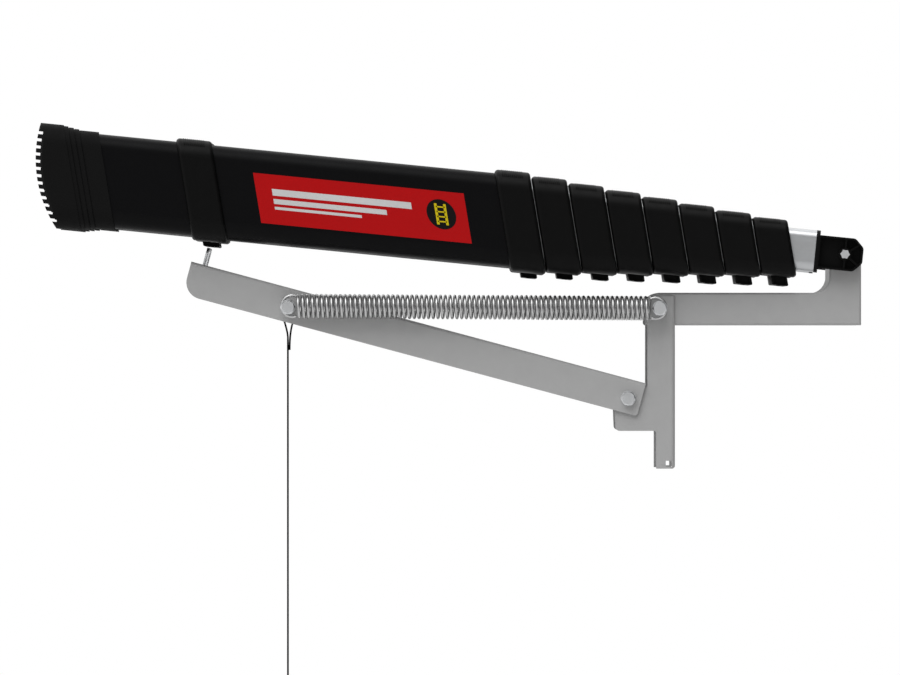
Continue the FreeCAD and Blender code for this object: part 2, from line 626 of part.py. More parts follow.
# The crossbar is a tube welded between the links' inner faces
bar = rod(CROSSBAR_R, CROSSBAR - V(0, LINK_Y, 0), CROSSBAR + V(0, LINK_Y, 0))
bar = bar.cut(rod(CROSSBAR_R - CROSSBAR_WALL, CROSSBAR - V(0, 200, 0), CROSSBAR + V(0, 200, 0)))
export("link_crossbar", [bar])


# ---- lift arm, hook, rod and bolts ---------------------------------------------------------------

def lift_arm():
    """One folded sheet: two side plates joined by straps of the top web. Local X runs along it."""
    points = [(0, 0), (0, -ARM_DEPTH), (ARM_LENGTH, -ARM_DEPTH), (ARM_LENGTH, 0)]
    cheek = plate(points, [0, 15.5, 3.0, 0], ARM_Y, ARM_Y + SHEET)
    web = Part.makeBox(ARM_LENGTH, 2 * (ARM_Y + SHEET), SHEET, V(0, -ARM_Y - SHEET, -SHEET))
    arm = web.fuse([cheek, mirrored(cheek)]).removeSplitter()
    bends = [e for e in arm.Edges if e.BoundBox.XLength > ARM_LENGTH - 1 and abs(e.BoundBox.ZMin) < 0.01
             and abs(abs(e.BoundBox.YMin) - ARM_Y - SHEET) < 0.01]
    arm = arm.makeFillet(SHEET, bends)
    windows = [(-1, 24), (64, 330), (372, ARM_LENGTH + 1)]
    for low, high in windows:
        corners = [V(low, -ARM_FLANGE_Y, 1), V(high, -ARM_FLANGE_Y, 1),
                   V(high, ARM_FLANGE_Y, 1), V(low, ARM_FLANGE_Y, 1)]
        arm = arm.cut(Part.Face(outline(corners, [8.0] * 4)).extrude(V(0, 0, -SHEET - 2)))
    holes = [rod(SHANK, V(s, -200, -ARM_BOLT_D), V(s, 200, -ARM_BOLT_D))
             for s in (ARM_BOLT_S, ARM_PIVOT_S)]
    seat = ARM_Y + HOOK_SEAT
    holes.append(rod(HOOK_WIRE + 0.1, V(HOOK_S, -seat, -HOOK_D), V(HOOK_S, seat, -HOOK_D)))
    return arm.cut(holes)


export("lift_arm", [on_arm(lift_arm())])


def wire_path(points, bend):
    """An open path of straight runs joined by arcs of one radius."""
    edges = []
    start = points[0]
    for before, corner, after in zip(points, points[1:], points[2:]):
        back = (before - corner).normalize()
        on = (after - corner).normalize()
        half = back.getAngle(on) / 2
        cut = bend / math.tan(half)
        near = bend / math.sin(half) - bend
        edges.append(Part.LineSegment(start, corner + back * cut).toShape())
        middle = (back + on).normalize()
        edges.append(Part.Arc(corner + back * cut, corner + middle * near, corner + on * cut).toShape())
        start = corner + on * cut
    edges.append(Part.LineSegment(start, points[-1]).toShape())
    return Part.Wire(edges)


def swept(path, radius):
    first = path.Edges[0]
    direction = first.tangentAt(first.FirstParameter)
    profile = Part.Wire(Part.makeCircle(radius, first.valueAt(first.FirstParameter), direction))
    return path.makePipeShell([profile], True, False)


wire_end = ARM_Y + HOOK_SEAT - 0.2
hook_points = [V(HOOK_S, -wire_end, -HOOK_D), V(HOOK_S, -HOOK_Y, -HOOK_D),
               V(HOOK_S, -HOOK_Y, HOOK_RISE - HOOK_WIRE), V(HOOK_S, HOOK_Y, HOOK_RISE - HOOK_WIRE),
               V(HOOK_S, HOOK_Y, -HOOK_D), V(HOOK_S, wire_end, -HOOK_D)]
export("hook_bail", [on_arm(swept(wire_path(hook_points, 4.0), HOOK_WIRE))])

# The cross rod is a sleeve between the arm's sides, clamped by a bolt at each end
sleeve = rod(CROSS_ROD_R, SPRING_BOLT - V(0, ARM_Y, 0), SPRING_BOLT + V(0, ARM_Y, 0))
export("arm_cross_rod", [sleeve.cut(rod(SHANK, SPRING_BOLT - V(0, 200, 0), SPRING_BOLT + V(0, 200, 0)))])

loop_out = SPRING_Y + SPRING_WIRE + 0.3
loop_in = SPRING_Y - SPRING_WIRE - 0.3
pivot = bolt(ARM_PIVOT, ARM_Y + SHEET, BRACKET_Y - 0.3 - NUT_THICK - 2, BRACKET_Y - 0.3)
holder = bolt(SPRING_BOLT, loop_out, ARM_Y - 30, None, (ARM_Y + SHEET, loop_in))
export("arm_bolts", [pivot, mirrored(pivot), holder, mirrored(holder)])

long_bolt = bolt(LINK_PIVOT, loop_out, LINK_Y - 0.4 - NUT_THICK - 2, LINK_Y - 0.4,
                 (BRACKET_Y + SHEET, loop_in))
export("link_pivot_bolts", [long_bolt, mirrored(long_bolt)])


# ---- springs -----------------------------------------------------------------------------------

reach = SPRING_BOLT - LINK_PIVOT
spring_line = V(reach.x, 0, reach.z).normalize()
near_loop = LINK_PIVOT + spring_line * SPRING_HANG + V(0, SPRING_Y, 0)
far_loop = SPRING_BOLT - spring_line * SPRING_HANG + V(0, SPRING_Y, 0)
near_coil = near_loop + spring_line * SPRING_BODY_GAP
far_coil = far_loop - spring_line * SPRING_BODY_GAP


def end_loop(centre, inwards):
    """The wire ring at a spring's end, open where the first coil meets it."""
    ring = Part.makeTorus(SPRING_LOOP_R, SPRING_WIRE, centre, V(0, 1, 0))
    block = Part.makeBox(40, 40, 40, V(0, -20, -20))
    turn = FreeCAD.Rotation(V(1, 0, 0), inwards)
    place = FreeCAD.Placement(centre + inwards * SPRING_BODY_GAP, turn)
    return ring.cut(block.transformed(place.toMatrix()))


coils = rod(SPRING_R, near_coil, far_coil)
coils = coils.cut(rod(SPRING_R - 2 * SPRING_WIRE, near_coil - spring_line, far_coil + spring_line))
spring = coils.fuse(end_loop(near_loop, spring_line)).removeSplitter()
export("lift_springs", [spring, mirrored(spring)])
far_end = end_loop(far_loop, spring_line * -1)
export("lift_spring_ends", [far_end, mirrored(far_end)])


# ---- pull cord -----------------------------------------------------------------------------------

# The route in X and Z from the cross rod's centre: the tail, round the rod, and the long drop.
CORD_ROUTE = [(0.85, -39.4), (0.85, -24.0), (8.31, 1.51), (3.78, 7.55), (-3.78, 7.55),
              (-8.31, 1.51), (-0.8, -24.0), (-0.75, CORD_END_Z - SPRING_BOLT.z)]


def cord_path():
    """Straight runs joined by tangent arcs, each as large as its runs allow."""
    points = [SPRING_BOLT + V(x, 0, z) for x, z in CORD_ROUTE]
    edges = []
    start = points[0]
    for before, corner, after in zip(points, points[1:], points[2:]):
        back = before - corner
        on = after - corner
        cut = 0.45 * min(back.Length, on.Length)
        back.normalize()
        on.normalize()
        half = back.getAngle(on) / 2
        radius = cut * math.tan(half)
        near = radius / math.sin(half) - radius
        print("cord bend radius %.1f" % radius)
        edges.append(Part.LineSegment(start, corner + back * cut).toShape())
        middle = (back + on).normalize()
        edges.append(Part.Arc(corner + back * cut, corner + middle * near, corner + on * cut).toShape())
        start = corner + on * cut
    edges.append(Part.LineSegment(start, points[-1]).toShape())
    return Part.Wire(edges)


path = cord_path()
cord = swept(path, CORD_R)
print("cord length %.1f, volume ratio %.4f" %
      (path.Length, cord.Volume / (math.pi * CORD_R ** 2 * path.Length)))
export("pull_cord", [cord])

# The knob is a turned drop with the cord knotted inside it
knob_top = SPRING_BOLT + V(CORD_ROUTE[-1][0], 0, CORD_ROUTE[-1][1])
profile = [knob_top, knob_top + V(KNOB_NECK_R, 0, 0), knob_top + V(KNOB_R, 0, -KNOB_WAIST),
           knob_top + V(KNOB_R - 3.0, 0, -KNOB_HEIGHT), knob_top + V(0, 0, -KNOB_HEIGHT)]
knob = Part.Face(outline(profile, [0, 2.0, 8.0, 4.0, 0]))
export("pull_knob", [knob.revolve(knob_top, V(0, 0, 1), 360)])
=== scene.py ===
import json
import math
import bmesh
import bpy
from mathutils import Matrix, Vector


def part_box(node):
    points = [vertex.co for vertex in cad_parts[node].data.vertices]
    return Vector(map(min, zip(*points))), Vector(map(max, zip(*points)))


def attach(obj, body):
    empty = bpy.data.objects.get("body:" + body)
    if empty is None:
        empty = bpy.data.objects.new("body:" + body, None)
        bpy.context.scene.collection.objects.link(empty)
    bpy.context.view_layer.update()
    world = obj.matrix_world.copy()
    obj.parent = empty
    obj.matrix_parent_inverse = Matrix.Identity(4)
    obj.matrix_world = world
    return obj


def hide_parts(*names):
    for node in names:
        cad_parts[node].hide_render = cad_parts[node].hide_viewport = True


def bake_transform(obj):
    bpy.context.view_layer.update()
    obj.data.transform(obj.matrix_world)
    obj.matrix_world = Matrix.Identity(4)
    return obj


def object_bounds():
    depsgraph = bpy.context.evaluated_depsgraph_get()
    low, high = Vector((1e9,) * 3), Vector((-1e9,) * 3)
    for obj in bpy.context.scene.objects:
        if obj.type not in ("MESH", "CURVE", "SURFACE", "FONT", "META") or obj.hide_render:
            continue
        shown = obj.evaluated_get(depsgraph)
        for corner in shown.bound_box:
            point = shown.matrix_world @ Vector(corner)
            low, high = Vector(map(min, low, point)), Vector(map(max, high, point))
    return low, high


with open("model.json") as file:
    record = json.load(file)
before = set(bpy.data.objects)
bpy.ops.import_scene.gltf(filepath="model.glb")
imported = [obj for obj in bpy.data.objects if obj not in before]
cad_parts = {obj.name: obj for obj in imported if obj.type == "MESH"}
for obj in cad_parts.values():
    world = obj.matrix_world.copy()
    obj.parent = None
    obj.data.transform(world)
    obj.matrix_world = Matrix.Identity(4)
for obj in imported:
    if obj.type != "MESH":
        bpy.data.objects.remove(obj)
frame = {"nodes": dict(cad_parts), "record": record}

cad_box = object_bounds()
joints = {joint["name"]: joint for joint in frame["record"]["behaviour"]["joints"]}


# ---- mounting bracket --------------------------------------------------------------------------
# A 3 mm steel sheet folded to a U and screwed to the hatch frame. It is powder coated in a matte
# light grey: the coat flows out to a faint orange peel and is a little uneven in gloss.

def linear(code):
    """An sRGB colour written as hex, as linear red, green, blue and alpha."""
    parts = [int(code[i:i + 2], 16) / 255 for i in (1, 3, 5)]
    return [p / 12.92 if p <= 0.04045 else ((p + 0.055) / 1.055) ** 2.4 for p in parts] + [1.0]


def add(tree, kind, values=None, links=None, **settings):
    """One shader node with its settings, its socket values and the sockets that feed it."""
    node = tree.nodes.new(kind)
    for name, value in settings.items():
        setattr(node, name, value)
    for socket, value in (values or {}).items():
        node.inputs[socket].default_value = value
    for socket, source in (links or {}).items():
        tree.links.new(source, node.inputs[socket])
    return node


# the ladder's own directions: along the stiles towards the feet, and across them to the rear
along = Vector(joints["slide_8"]["axis"])
rearward = along.cross(Vector((0, 1, 0)))
tilt = math.atan2(along.z, -along.x)


PATCH_GRAINS = 6            # a patch of colour and gloss is this many grains wide
NOISE_LOW, NOISE_HIGH = 0.3, 0.7    # nearly all of a noise lies between these


def surface(name, colours, grain_mm, relief_mm, roughness, metallic=0.0, stretch=1.0, ior=None,
            specular=0.5):
    """A material of two close colours in soft patches, with a relief and a gloss that vary.

    A stretch draws the patches out along the stiles, as an extrusion die does. roughness is
    (least, most), and a specular under a half is a surface that scatters.
    """
    material = bpy.data.materials.new(name)
    material.use_nodes = True
    tree = material.node_tree
    shader = tree.nodes["Principled BSDF"]
    place = add(tree, "ShaderNodeTexCoord").outputs["Object"]
    place = add(tree, "ShaderNodeMapping", {"Rotation": (0, -tilt, 0)}, {"Vector": place}).outputs[0]
    place = add(tree, "ShaderNodeMapping", {"Scale": (1 / stretch, 1, 1)}, {"Vector": place}).outputs[0]
    patches = add(tree, "ShaderNodeTexNoise",
                  {"Scale": 1000 / (PATCH_GRAINS * grain_mm), "Detail": 3.0}, {"Vector": place})
    colour = add(tree, "ShaderNodeMix", {6: linear(colours[0]), 7: linear(colours[1])},
                 {0: patches.outputs["Fac"]}, data_type="RGBA")
    gloss = add(tree, "ShaderNodeMapRange",
                {"From Min": NOISE_LOW, "From Max": NOISE_HIGH, "To Min": roughness[0],
                 "To Max": roughness[1]},
                {"Value": patches.outputs["Fac"]})
    grain = add(tree, "ShaderNodeTexNoise", {"Scale": 1000 / grain_mm, "Detail": 2.0}, {"Vector": place})
    bump = add(tree, "ShaderNodeBump", {"Strength": 1.0, "Distance": relief_mm / 1000},
               {"Height": grain.outputs["Fac"]})
    tree.links.new(colour.outputs[2], shader.inputs["Base Color"])
    tree.links.new(gloss.outputs["Result"], shader.inputs["Roughness"])
    tree.links.new(bump.outputs["Normal"], shader.inputs["Normal"])
    shader.inputs["Metallic"].default_value = metallic
    shader.inputs["Specular IOR Level"].default_value = specular
    if ior is not None:
        shader.inputs["IOR"].default_value = ior
    return material


def dress(material, *names):
    """Gives CAD nodes their finish."""
    for name in names:
        for slot in frame["nodes"][name].material_slots:
            slot.material = material


# orange peel of 1.2 mm, drawn at 2 mm so that it shows
powder_coat = surface("powder_coated_steel", ("#989898", "#929292"), 2.0, 0.02, (0.5, 0.62), ior=1.5,
                      specular=0.3)
dress(powder_coat, "mounting_bracket")


# ---- bolts and pivot screws --------------------------------------------------------------------
# M8 hexagon bolts with washers, and the screws that the ladder turns on. They are zinc plated, so
# they are bright, slightly cloudy, and lighter than the coated sheet round them.

zinc_plate = surface("zinc_plated_steel", ("#d2d3d4", "#bcbec0"), 0.6, 0.004, (0.3, 0.42), metallic=1.0)
dress(zinc_plate, "link_pivot_bolts", "arm_bolts", "ladder_pivot_screws")


# ---- swing links and their crossbar -------------------------------------------------------------
# Two L-shaped 3 mm plates with a bent lower edge, joined by a tube that is welded between them. The
# plates have the bracket's powder coat, and the tube is zinc plated.

dress(powder_coat, "swing_link_left", "swing_link_right")
dress(zinc_plate, "link_crossbar")


# ---- stile tubes ---------------------------------------------------------------------------------
# Nine nested aluminium extrusions a side. The inner eight are satin anodised, with die lines along
# them, and the outermost is powder coated black with a low sheen.

anodised = surface("anodised_aluminium", ("#b8b9ba", "#aaacae"), 0.5, 0.012, (0.3, 0.4),
                   metallic=1.0, stretch=300.0)
dress(anodised, *["stile_tubes_%d" % k for k in range(2, 10)])

black_coat = surface("black_coated_aluminium", ("#060607", "#040405"), 1.6, 0.012, (0.36, 0.44), ior=1.45,
                     specular=0.08)
dress(black_coat, "stile_tubes_1")


# ---- collars and end plugs -----------------------------------------------------------------------
# Injection moulded nylon with glass fibre, spark-textured, so it is black with a broad dull sheen.
# The collars are pressed on the tube ends, and each has fine grip ribs moulded across its front.

moulded_nylon = surface("moulded_black_nylon", ("#050505", "#030303"), 1.4, 0.03, (0.38, 0.48), ior=1.53,
                        specular=0.075)
dress(moulded_nylon, "end_plugs", "bottom_step_collars", *["stile_collars_%d" % k for k in range(1, 9)])

pivot = Vector(joints["ladder_tilt"]["pos_m"])
ladder_frame = Matrix.Translation(pivot) @ Matrix((along, (0, 1, 0), rearward)).transposed().to_4x4()
STEP_SLOPE = math.radians(15)       # the steps and collars lie at this slope across the stiles
slant = Matrix.Identity(4)
slant[0][2] = -math.tan(STEP_SLOPE)
slanted_frame = ladder_frame @ slant


def slanted_box(name):
    """A CAD node's lowest and highest height, Y and depth, measured between the slanted planes."""
    inverse = slanted_frame.inverted()
    points = [inverse @ vertex.co for vertex in frame["nodes"][name].data.vertices]
    return (Vector([min(p[i] for p in points) for i in range(3)]),
            Vector([max(p[i] for p in points) for i in range(3)]))


def make_piece(name, bm, material, body, smooth=True):
    """Turns a bmesh into a piece that moves with a body."""
    bmesh.ops.recalc_face_normals(bm, faces=bm.faces)
    for face in bm.faces:
        face.smooth = smooth
    mesh = bpy.data.meshes.new(name)
    bm.to_mesh(mesh)
    bm.free()
    mesh.materials.append(material)
    piece = bpy.data.objects.new(name, mesh)
    bpy.context.scene.collection.objects.link(piece)
    if body is not None:
        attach(piece, body)
    return piece


RIB_PITCH = 0.0018          # 1.2 mm on the real one, drawn wider so that each rib shows
RIB_R = 0.00055
RIB_PROUD = 0.00045
RIB_MARGIN = 0.0075         # the collars' rounded edges and the land beside them have none
RIB_WRAP = math.radians(50)         # how far a rib is carried round each corner
RIB_BEND_STEPS = 4
STILE_Y = 0.175             # the middle of a stile
COLLAR_SIDE_R = 0.01585     # front corner radius of the largest collar
COLLAR_SIDE_R_STEP = 0.00063    # each smaller collar has this much less


def collar_rib(bm, height, y_middle, y_flat, front, corner):
    """A half-round rib across a collar's front, carried round both corners."""
    centre = Vector((height, y_middle - y_flat, front + corner))
    place = Matrix.Translation((height, centre.y, front + RIB_R - RIB_PROUD))
    start = bmesh.ops.create_circle(bm, cap_ends=True, segments=6, radius=RIB_R,
                                    matrix=place @ Matrix.Rotation(math.pi / 2, 4, "X"))
    bmesh.ops.rotate(bm, verts=start["verts"], cent=centre, matrix=Matrix.Rotation(-RIB_WRAP, 3, "X"))
    round_left = bmesh.ops.spin(bm, geom=list(start["verts"][0].link_faces), cent=centre, axis=(1, 0, 0),
                                angle=RIB_WRAP, steps=RIB_BEND_STEPS)
    end = [part for part in round_left["geom_last"] if isinstance(part, bmesh.types.BMFace)]
    across = bmesh.ops.extrude_face_region(bm, geom=end)["geom"]
    bmesh.ops.translate(bm, verts=[part for part in across if isinstance(part, bmesh.types.BMVert)],
                        vec=(0, 2 * y_flat, 0))
    bmesh.ops.spin(bm, geom=[part for part in across if isinstance(part, bmesh.types.BMFace)],
                   cent=centre + Vector((0, 2 * y_flat, 0)), axis=(1, 0, 0), angle=RIB_WRAP,
                   steps=RIB_BEND_STEPS)


def collar_ribs(name, collars, body, corner):
    """The grip ribs on the fronts of a pair of collars."""
    low, high = slanted_box(collars)
    y_flat = high.y - STILE_Y - corner
    count = int((high.x - low.x - 2 * RIB_MARGIN) / RIB_PITCH) + 1
    first = (low.x + high.x - (count - 1) * RIB_PITCH) / 2
    bm = bmesh.new()
    for y_middle in (-STILE_Y, STILE_Y):
        for i in range(count):
            collar_rib(bm, first + i * RIB_PITCH, y_middle, y_flat, low.z, corner)
    bm.transform(slanted_frame)
    make_piece(name, bm, moulded_nylon, body)


for k in range(1, 9):
    collar_ribs("collar_grip_ribs_%d" % k, "stile_collars_%d" % k, "section_%d" % k,
                COLLAR_SIDE_R - COLLAR_SIDE_R_STEP * (k - 1))
collar_ribs("bottom_step_grip_ribs", "bottom_step_collars", "section_1", COLLAR_SIDE_R)


# ---- rungs ---------------------------------------------------------------------------------------
# Hollow aluminium extrusions pushed on the collars' spigots, powder coated black. Half-round ribs
# are drawn along the tread and along the front, where a hand holds.

dress(black_coat, "bottom_step", *["rung_%d" % k for k in range(1, 9)])

TREAD_RIB_R = 0.0010
TREAD_RIB_PROUD = 0.0006
TREAD_RIB_PITCH = 0.0050
TREAD_EDGE = 0.0070         # plain metal before the first rib
TREAD_RIB_END = 0.001       # they stop this short of the rung's ends
RAIL_REACH = 0.0072         # the rear channel stands out behind the tread
FRONT_RIBS = 5
FRONT_RIB_PITCH = 0.0032
FRONT_RIB_HALF = 0.080      # they stop short of the release buttons


def straight_rib(bm, height, depth, half_length):
    """A half-round rib along Y."""
    lie = Matrix.Translation((height, 0, depth)) @ Matrix.Rotation(math.pi / 2, 4, "X")
    bmesh.ops.create_cone(bm, cap_ends=True, segments=8, radius1=TREAD_RIB_R, radius2=TREAD_RIB_R,
                          depth=2 * half_length, matrix=lie)


def rung_ribs(name, rung, body):
    """The ribs on one rung's tread and front."""
    low, high = slanted_box(rung)
    bm = bmesh.new()
    sink = TREAD_RIB_R - TREAD_RIB_PROUD
    first = low.z + TREAD_EDGE
    count = int((high.z - RAIL_REACH - TREAD_EDGE - first) / TREAD_RIB_PITCH) + 1
    for i in range(count):
        straight_rib(bm, low.x + sink, first + i * TREAD_RIB_PITCH, high.y - TREAD_RIB_END)
    middle = (low.x + high.x) / 2
    for i in range(FRONT_RIBS):
        offset = (i - (FRONT_RIBS - 1) / 2) * FRONT_RIB_PITCH
        straight_rib(bm, middle + offset, low.z + sink, FRONT_RIB_HALF)
    bm.transform(slanted_frame)
    make_piece(name, bm, black_coat, body)


for k in range(1, 9):
    rung_ribs("rung_ribs_%d" % k, "rung_%d" % k, "section_%d" % k)
rung_ribs("bottom_step_ribs", "bottom_step", "section_1")


# ---- release buttons and tube guides -------------------------------------------------------------
# The thumb buttons are moulded acetal, mid grey and a little waxy. The guides at the tubes' lower
# ends are the same plastic left in its natural milky white, and only show inside the tubes.

grey_acetal = surface("moulded_grey_acetal", ("#77797b", "#6c6e70"), 1.2, 0.02, (0.34, 0.42), ior=1.48)
dress(grey_acetal, *["release_buttons_%d" % k for k in range(1, 9)])
white_acetal = surface("natural_acetal", ("#d9d6cd", "#cfccc2"), 1.2, 0.02, (0.36, 0.44), ior=1.48)
dress(white_acetal, *["tube_guides_%d" % k for k in range(2, 10)])


# ---- foot caps -----------------------------------------------------------------------------------
# Moulded rubber boots with a curved sole cut into treads, pushed over the outer tubes. Rubber is
# dead matte, and a bloom of dust in it turns the black a little grey in patches.

foot_rubber = surface("moulded_rubber", ("#0a0a0a", "#0e0e0e"), 1.6, 0.04, (0.6, 0.75), ior=1.52,
                      specular=0.06)
dress(foot_rubber, "foot_caps")


# ---- side label ----------------------------------------------------------------------------------
# A printed vinyl film stuck on the outer face of one stile. The print is a plain design: three
# light stripes, and a small ladder sign in yellow on a black disc.

red_film = surface("printed_red_vinyl", ("#a2080b", "#960609"), 8.0, 0.01, (0.3, 0.36), ior=1.5,
                   specular=0.1)
dress(red_film, "side_label")
light_ink = surface("light_grey_ink", ("#b6b6b6", "#adadad"), 4.0, 0.005, (0.4, 0.46), ior=1.5,
                    specular=0.1)
yellow_ink = surface("yellow_ink", ("#b7a510", "#aa990c"), 4.0, 0.005, (0.4, 0.46), ior=1.5,
                     specular=0.1)
black_ink = surface("black_ink", ("#060606", "#0a0a0a"), 4.0, 0.005, (0.4, 0.46), ior=1.5,
                    specular=0.1)

INK = 0.0001                # each layer of print stands this proud
# where each stripe starts across the label, its width and its length
STRIPES = ((-0.0080, 0.0060, 0.128), (0.0010, 0.0045, 0.104), (0.0080, 0.0025, 0.080))
STRIPE_START = 0.015        # from the label's end nearest the feet
SIGN_R = 0.0135
SIGN_FROM_END = 0.024
SIGN_RAIL_GAP = 0.0042
SIGN_BAR = 0.0012           # half the width of its rails, and the width of its steps
SIGN_RAIL_HALF = 0.0095     # half the length of its rails
SIGN_STEPS = 4
SIGN_STEP_PITCH = 0.0044


def print_layer(name, bm, material, layer):
    """Places a flat print, drawn in height and depth, on the label."""
    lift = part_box("side_label")[0].y - INK * (layer + 0.5)
    bm.transform(slanted_frame @ Matrix.Translation((0, lift, 0)))
    make_piece(name, bm, material, "section_1", smooth=False)


def block(bm, low_h, high_h, low_v, high_v):
    """A flat bar of print."""
    size = Matrix.Diagonal((high_h - low_h, INK, high_v - low_v, 1))
    middle = Matrix.Translation(((low_h + high_h) / 2, 0, (low_v + high_v) / 2))
    bmesh.ops.create_cube(bm, size=1.0, matrix=middle @ size)


label_low, label_high = slanted_box("side_label")
bm = bmesh.new()
for low_v, width, length in STRIPES:
    end = label_high.x - STRIPE_START
    block(bm, end - length, end, low_v, low_v + width)
print_layer("label_stripes", bm, light_ink, 0)

sign_h = label_low.x + SIGN_FROM_END
bm = bmesh.new()
bmesh.ops.create_cone(bm, cap_ends=True, segments=48, radius1=SIGN_R, radius2=SIGN_R, depth=INK,
                      matrix=Matrix.Translation((sign_h, 0, 0)) @ Matrix.Rotation(math.pi / 2, 4, "X"))
print_layer("label_disc", bm, black_ink, 0)
bm = bmesh.new()
for offset in (-SIGN_RAIL_GAP, SIGN_RAIL_GAP):
    block(bm, sign_h + offset - SIGN_BAR, sign_h + offset + SIGN_BAR, -SIGN_RAIL_HALF, SIGN_RAIL_HALF)
for i in range(SIGN_STEPS):
    step = (i - (SIGN_STEPS - 1) / 2) * SIGN_STEP_PITCH
    block(bm, sign_h - SIGN_RAIL_GAP, sign_h + SIGN_RAIL_GAP, step - SIGN_BAR / 2, step + SIGN_BAR / 2)
print_layer("label_sign", bm, yellow_ink, 1)


# ---- lift arm, hook and cross rod ----------------------------------------------------------------
# The arm is one 3 mm sheet with two folded sides, powder coated like the bracket. The hook is a bent
# zinc plated wire, and the cross rod is a steel sleeve clamped between the arm's sides.

dress(powder_coat, "lift_arm")
dress(zinc_plate, "hook_bail", "arm_cross_rod")


# ---- lift springs --------------------------------------------------------------------------------
# Two tension springs of 2.6 mm drawn wire, each with 74 open coils and a loop bent up at each end
# over its bolt. Drawn wire is bright on top, and its grey goes lighter and darker in soft patches.

spring_wire = surface("drawn_spring_wire", ("#c9c9c9", "#9b9b9b"), 0.6, 0.01, (0.28, 0.4), metallic=1.0)

WIRE_R = 0.0013
COIL_R = 0.0100
LOOP_R = 0.0097
COILS = 74
STEPS_A_TURN = 20
LOOP_HANG = 0.0041          # from a bolt to the centre of its loop
LOOP_GAP = 0.0046           # from a loop's centre to the first coil
FAR_LIFT = 0.0010           # the far loop sits a little high on its bolt
LOOP_START = math.radians(122)      # where a loop starts, from its outward direction
LOOP_SWEEP = math.radians(236)
LOOP_STEPS = 28

near_bolt = Vector(joints["spring_swing"]["pos_m"])
rod_low, rod_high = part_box("arm_cross_rod")
far_bolt = (rod_low + rod_high) / 2
spring_line = (far_bolt - near_bolt).normalized()
spring_up = Vector((0, 1, 0)).cross(spring_line)
spring_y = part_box("lift_springs")[1].y - COIL_R - WIRE_R


def wire_end(bm, centre, heading):
    """The round section of a wire, where it starts towards a heading."""
    turn = heading.to_track_quat("Z", "Y").to_matrix().to_4x4()
    start = bmesh.ops.create_circle(bm, cap_ends=True, segments=8, radius=WIRE_R,
                                    matrix=Matrix.Translation(centre) @ turn)
    return list(start["verts"][0].link_faces)


def end_loop(bm, centre, outward, turn):
    """The loop over a bolt, from inside the last coil round to just short of it."""
    start = centre + LOOP_R * (math.cos(LOOP_START) * outward + math.sin(LOOP_START) * spring_up)
    heading = math.sin(LOOP_START) * outward - math.cos(LOOP_START) * spring_up
    bmesh.ops.spin(bm, geom=wire_end(bm, start, heading), cent=centre, axis=(0, turn, 0),
                   angle=LOOP_SWEEP, steps=LOOP_STEPS)


def lift_spring(name, side):
    """One spring in one piece: it stretches between its link bolt and its arm bolt."""
    near_loop = near_bolt + spring_line * LOOP_HANG + Vector((0, side * spring_y, 0))
    far_loop = far_bolt - spring_line * LOOP_HANG + Vector((0, side * spring_y, 0))
    far_loop += spring_up * FAR_LIFT
    first = near_loop + spring_line * LOOP_GAP
    last = far_loop - spring_line * LOOP_GAP
    pitch = (last - first) / COILS
    coil_up = Vector((0, 1, 0)).cross(pitch.normalized())
    bm = bmesh.new()
    heading = Vector((0, 1, 0)) + pitch / (2 * math.pi * COIL_R)
    bmesh.ops.spin(bm, geom=wire_end(bm, first + COIL_R * coil_up, heading), cent=first,
                   axis=coil_up.cross(Vector((0, 1, 0))), dvec=pitch / STEPS_A_TURN,
                   angle=2 * math.pi * COILS, steps=COILS * STEPS_A_TURN)
    end_loop(bm, near_loop, -spring_line, 1)
    end_loop(bm, far_loop, spring_line, -1)
    spring = make_piece(name, bm, spring_wire, None)
    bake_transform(spring)
    return spring


springs = [lift_spring("lift_spring_" + word, side) for word, side in (("left", 1), ("right", -1))]
for spring in springs:
    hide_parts("lift_springs", "lift_spring_ends")


# ---- pull cord and knob --------------------------------------------------------------------------
# A limp 1.5 mm braided polyester cord. It is looped over the cross rod, where its short tail is
# stitched to it, and hangs plumb to a turned black plastic knob that it is knotted inside.

cord_braid = surface("braided_polyester", ("#080808", "#050505"), 0.5, 0.03, (0.7, 0.85), ior=1.5,
                     specular=0.08)

CORD_R = 0.00085            # 0.75 mm on the real one, drawn thicker so that it shows
# from the cross rod's centre, in X and Z
CORD_ROUTE = ((0.00085, -0.0394), (0.00085, -0.0240), (0.00578, -0.00713), (0.00831, 0.00151),
              (0.00378, 0.00755), (-0.00378, 0.00755), (-0.00831, 0.00151), (-0.00577, -0.00712),
              (-0.0008, -0.0240), (-0.0008, -0.0330), (-0.00075, -0.3407))

line = bpy.data.curves.new("pull_cord_line", "CURVE")
line.dimensions = "3D"
spline = line.splines.new("NURBS")
spline.points.add(len(CORD_ROUTE) - 1)
for point, (x, z) in zip(spline.points, CORD_ROUTE):
    point.co = (far_bolt.x + x, 0, far_bolt.z + z, 1)
spline.order_u = 3
spline.use_endpoint_u = True
spline.resolution_u = 10
line.bevel_depth = CORD_R
line.bevel_resolution = 3
line.use_fill_caps = True
line.materials.append(cord_braid)
pull_cord = bpy.data.objects.new("pull_cord_line", line)
bpy.context.scene.collection.objects.link(pull_cord)
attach(pull_cord, "cord")
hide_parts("pull_cord")


def turned(bm, points, centre):
    """Turns an outline of (radius, height) points about a plumb line."""
    ring = [bm.verts.new((centre.x + radius, centre.y, centre.z + height)) for radius, height in points]
    edges = [bm.edges.new(pair) for pair in zip(ring, ring[1:])]
    bmesh.ops.spin(bm, geom=ring + edges, cent=centre, axis=(0, 0, 1), angle=2 * math.pi, steps=40,
                   use_merge=True)
    bmesh.ops.remove_doubles(bm, verts=bm.verts, dist=1e-6)


turned_plastic = surface("moulded_black_abs", ("#181818", "#121212"), 1.5, 0.02, (0.3, 0.38), ior=1.54)
knob_low, knob_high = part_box("pull_knob")
knob_top = Vector(((knob_low.x + knob_high.x) / 2, 0, knob_high.z))
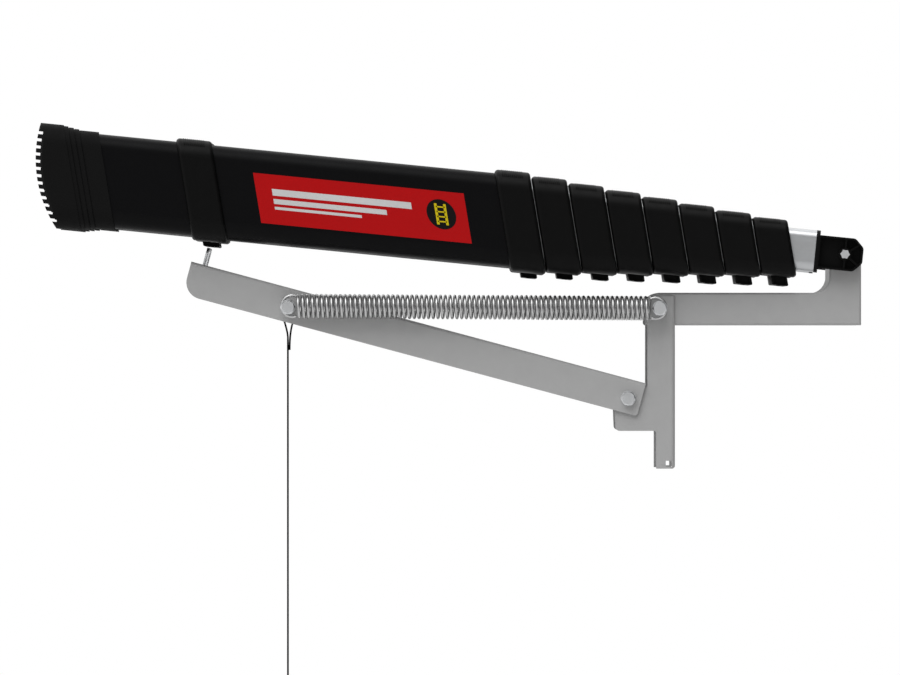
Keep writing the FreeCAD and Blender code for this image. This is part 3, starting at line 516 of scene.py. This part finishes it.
# from the foot of the bore for the cord up its wall, and round the outside to the bottom
KNOB_OUTLINE = ((0.0010, -0.0030), (0.0010, 0.0), (0.0030, 0.0), (0.0040, -0.0008), (0.0044, -0.0030),
                (0.0040, -0.0042), (0.0052, -0.0052), (0.0072, -0.0082), (0.0095, -0.0125),
                (0.0108, -0.0172), (0.0109, -0.0205), (0.0102, -0.0245), (0.0090, -0.0280),
                (0.0078, -0.0296), (0.0060, -0.0300), (0.0, -0.0300))
bm = bmesh.new()
turned(bm, KNOB_OUTLINE + ((0.0, -0.0030),), knob_top)
knob = make_piece("turned_pull_knob", bm, turned_plastic, "cord")
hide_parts("pull_knob")


# ---- camera, floor and light ---------------------------------------------------------------------
# The ladder is seen level from its left side through a very long lens. The floor lies below the
# feet of the ladder when it is fully let down, and the room is a white one, brighter overhead.

VIEW_CENTRE = Vector((-0.2061, 0, 0.0508))
VIEW_WIDTH = 0.8235         # across the nearer side of the object
LENS = 1280
SENSOR = 36
near_side = cad_box[0].y
camera = bpy.data.objects.new("camera", bpy.data.cameras.new("camera"))
camera.data.lens = LENS
camera.data.sensor_width = SENSOR
camera.data.clip_end = 200
camera.location = VIEW_CENTRE + Vector((0, near_side - VIEW_WIDTH * LENS / SENSOR, 0))
camera.rotation_euler = (math.pi / 2, 0, 0)
bpy.context.scene.collection.objects.link(camera)
bpy.context.scene.camera = camera

FLOOR_Z = -2.56
FLOOR_R = 25.0
bm = bmesh.new()
bmesh.ops.create_circle(bm, cap_ends=True, segments=64, radius=FLOOR_R,
                        matrix=Matrix.Translation((0, 0, FLOOR_Z)))
mesh = bpy.data.meshes.new("floor")
bm.to_mesh(mesh)
bm.free()
mesh.materials.append(surface("pale_screed", ("#d2d2d2", "#cccccc"), 4.0, 0.05, (0.7, 0.8), ior=1.45))
floor = bpy.data.objects.new("floor", mesh)
bpy.context.scene.collection.objects.link(floor)

for name, aim, strength, softness in (("key", (0.25, 0.55, -0.8), 1.6, 50),
                                      ("back", (0.3, -0.5, -0.8), 0.8, 70)):
    lamp = bpy.data.lights.new(name, "SUN")
    lamp.energy = strength
    lamp.angle = math.radians(softness)
    light = bpy.data.objects.new(name, lamp)
    light.rotation_euler = Vector(aim).to_track_quat("-Z", "Y").to_euler()
    bpy.context.scene.collection.objects.link(light)

SKY_LEAN = (-0.65, 0, 0.76)  # the room is brightest above the feet of the stowed ladder
world = bpy.data.worlds.new("studio")
world.use_nodes = True
bpy.context.scene.world = world
sky = world.node_tree
direction = add(sky, "ShaderNodeTexCoord").outputs["Generated"]
height = add(sky, "ShaderNodeVectorMath", {1: SKY_LEAN}, {0: direction}, operation="DOT_PRODUCT")
glow = add(sky, "ShaderNodeMapRange", {"From Min": -0.6, "From Max": 1, "To Min": 0.06, "To Max": 1.25},
           {"Value": height.outputs["Value"]}, interpolation_type="SMOOTHERSTEP")
straight = add(sky, "ShaderNodeLightPath").outputs["Is Camera Ray"]
level = add(sky, "ShaderNodeMix", {3: 1.0}, {0: straight, 2: glow.outputs["Result"]})
sky.links.new(level.outputs[0], sky.nodes["Background"].inputs["Strength"])
sky.nodes["Background"].inputs["Color"].default_value = (1, 1, 1, 1)
bpy.context.scene.view_settings.view_transform = "Standard"
